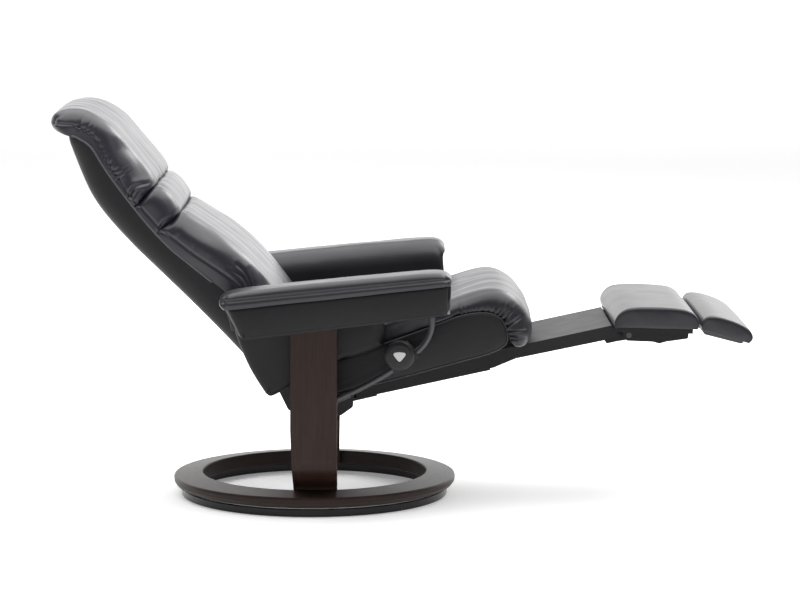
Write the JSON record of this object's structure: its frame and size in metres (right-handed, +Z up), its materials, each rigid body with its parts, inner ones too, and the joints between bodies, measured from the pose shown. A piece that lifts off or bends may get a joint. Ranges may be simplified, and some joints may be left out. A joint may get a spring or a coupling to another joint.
{
  "type": "power recliner",
  "caption": "Power recliner with leather cushions and arms on bent wooden posts and a swivelling wooden ring, back reclined and telescoping footrest out.",
  "frame": {"origin": "on the floor, on the axis of the swivel", "axes": "+X forward from the backrest to the footrest, +Y to the sitter's left, +Z up"},
  "size_m": [1.5543, 0.796, 0.8968],
  "materials": {
    "dark_wood": "dark stained, satin, grain upright on the posts",
    "black_plastic": "matt",
    "black_gloss": "glossy",
    "pad_plastic": "smooth",
    "dark_steel": "powder coated",
    "bright_steel": "zinc plated",
    "silver": "satin",
    "ply": "raw plywood",
    "stuffed_leather": null
  },
  "bodies": {
    "floor_base": {"floor_ring": "black_gloss", "slide_pads": "pad_plastic"},
    "turning_base": {"turn_track": "bright_steel", "track_screws": "bright_steel", "base_ring": "dark_wood", "post_right": "dark_wood", "post_left": "dark_wood", "foot_bolts": "bright_steel", "cross_tube": "dark_steel", "cross_bolts": "bright_steel", "ram_clevis": "dark_steel", "arm_core_right": "ply", "arm_core_left": "ply", "arm_boxing_right": "stuffed_leather", "arm_boxing_left": "stuffed_leather", "arm_pad_right": "stuffed_leather", "arm_pad_left": "stuffed_leather", "arm_screws": "bright_steel", "glide_rod_right": "dark_steel", "glide_rod_left": "dark_steel", "rod_socket_right": "dark_steel", "rod_socket_left": "dark_steel"},
    "seat_unit": {"seat_frame": "dark_steel", "seat_board": "ply", "seat_cushion": "stuffed_leather", "side_panel_right": "stuffed_leather", "side_panel_left": "stuffed_leather", "glide_block_right": "black_plastic", "glide_block_left": "black_plastic", "leg_sleeve": "black_plastic", "power_pan": "black_plastic", "control_box": "black_plastic", "power_inlet": "black_plastic", "leg_motor": "dark_steel", "recline_motor": "dark_steel", "back_hinge_pins": "bright_steel", "button_plate": "black_plastic"},
    "wheel_unit_right": {"wheel_right": "black_plastic", "wheel_insert_right": "silver"},
    "wheel_unit_left": {"wheel_left": "black_plastic", "wheel_insert_left": "silver"},
    "ram_rod": {"recline_ram": "bright_steel"},
    "back_unit": {"back_frame": "dark_steel", "back_shell": "stuffed_leather", "back_wing_right": "stuffed_leather", "back_wing_left": "stuffed_leather", "back_cushion": "stuffed_leather", "lumbar_cushion": "stuffed_leather"},
    "head_unit": {"head_cushion": "stuffed_leather", "head_frame": "dark_steel"},
    "leg_carriage": {"leg_carrier": "dark_steel", "leg_ram": "bright_steel", "foot_hinge_pin": "dark_steel"},
    "foot_unit": {"foot_mechanism": "dark_steel", "foot_pad": "stuffed_leather"},
    "flap_unit": {"flap_board": "dark_steel", "foot_flap": "stuffed_leather"},
    "button_leg_out_cap": {"button_leg_out": "bright_steel"},
    "button_leg_in_cap": {"button_leg_in": "bright_steel"},
    "button_back_cap": {"button_back": "bright_steel"}
  },
  "joints": [
    {"name": "swivel", "type": "hinge", "parent": "floor_base", "child": "turning_base", "pos_m": [0, 0, 0], "axis": [0, 0, 1], "continuous": true},
    {"name": "seat_glide", "type": "hinge", "parent": "turning_base", "child": "seat_unit", "pos_m": [-0.168, 0, 0.842], "axis": [0, 1, 0], "range_deg": [0, 8]},
    {"name": "recline_ram_slide", "type": "slide", "parent": "seat_unit", "child": "ram_rod", "axis": [0.9415, 0, 0.3371], "range_m": [0, 0.0866]},
    {"name": "back_recline", "type": "hinge", "parent": "seat_unit", "child": "back_unit", "pos_m": [-0.098, 0, 0.407], "axis": [0, 1, 0], "range_deg": [0, 18]},
    {"name": "headrest_tilt", "type": "hinge", "parent": "back_unit", "child": "head_unit", "pos_m": [-0.35861, 0, 0.71374], "axis": [0, 1, 0], "range_deg": [0, 22]},
    {"name": "leg_extend", "type": "slide", "parent": "seat_unit", "child": "leg_carriage", "axis": [0.9774, 0, 0.2113], "range_m": [-0.22, 0]},
    {"name": "foot_pad_fold", "type": "hinge", "parent": "leg_carriage", "child": "foot_unit", "pos_m": [0.70908, 0, 0.38344], "axis": [0, 1, 0], "range_deg": [0, 90]},
    {"name": "foot_flap_fold", "type": "hinge", "parent": "foot_unit", "child": "flap_unit", "pos_m": [0.86, 0, 0.402], "axis": [0, 1, 0], "range_deg": [0, 80]},
    {"name": "wheel_turn_right", "type": "hinge", "parent": "seat_unit", "child": "wheel_unit_right", "pos_m": [0.19285, 0, 0.36139], "axis": [0, 1, 0], "range_deg": [-180, 180]},
    {"name": "wheel_turn_left", "type": "hinge", "parent": "seat_unit", "child": "wheel_unit_left", "pos_m": [0.19285, 0, 0.36139], "axis": [0, 1, 0], "range_deg": [-180, 180]},
    {"name": "press_leg_out", "type": "slide", "parent": "seat_unit", "child": "button_leg_out_cap", "axis": [0, -1, 0], "range_m": [0, 0.0015], "stiffness_N_per_m": 900, "springref_m": -0.001},
    {"name": "press_leg_in", "type": "slide", "parent": "seat_unit", "child": "button_leg_in_cap", "axis": [0, -1, 0], "range_m": [0, 0.0015], "stiffness_N_per_m": 900, "springref_m": -0.001},
    {"name": "press_back", "type": "slide", "parent": "seat_unit", "child": "button_back_cap", "axis": [0, -1, 0], "range_m": [0, 0.0015], "stiffness_N_per_m": 900, "springref_m": -0.001}
  ],
  "couplings": [
    {"joint": "recline_ram_slide", "follows": "seat_glide", "m_per_rad": 0.6195},
    {"joint": "back_recline", "follows": "seat_glide", "ratio": 2.25},
    {"joint": "foot_pad_fold", "follows": "leg_extend", "rad_per_m": -7.14},
    {"joint": "foot_flap_fold", "follows": "leg_extend", "rad_per_m": -6.3467}
  ]
}
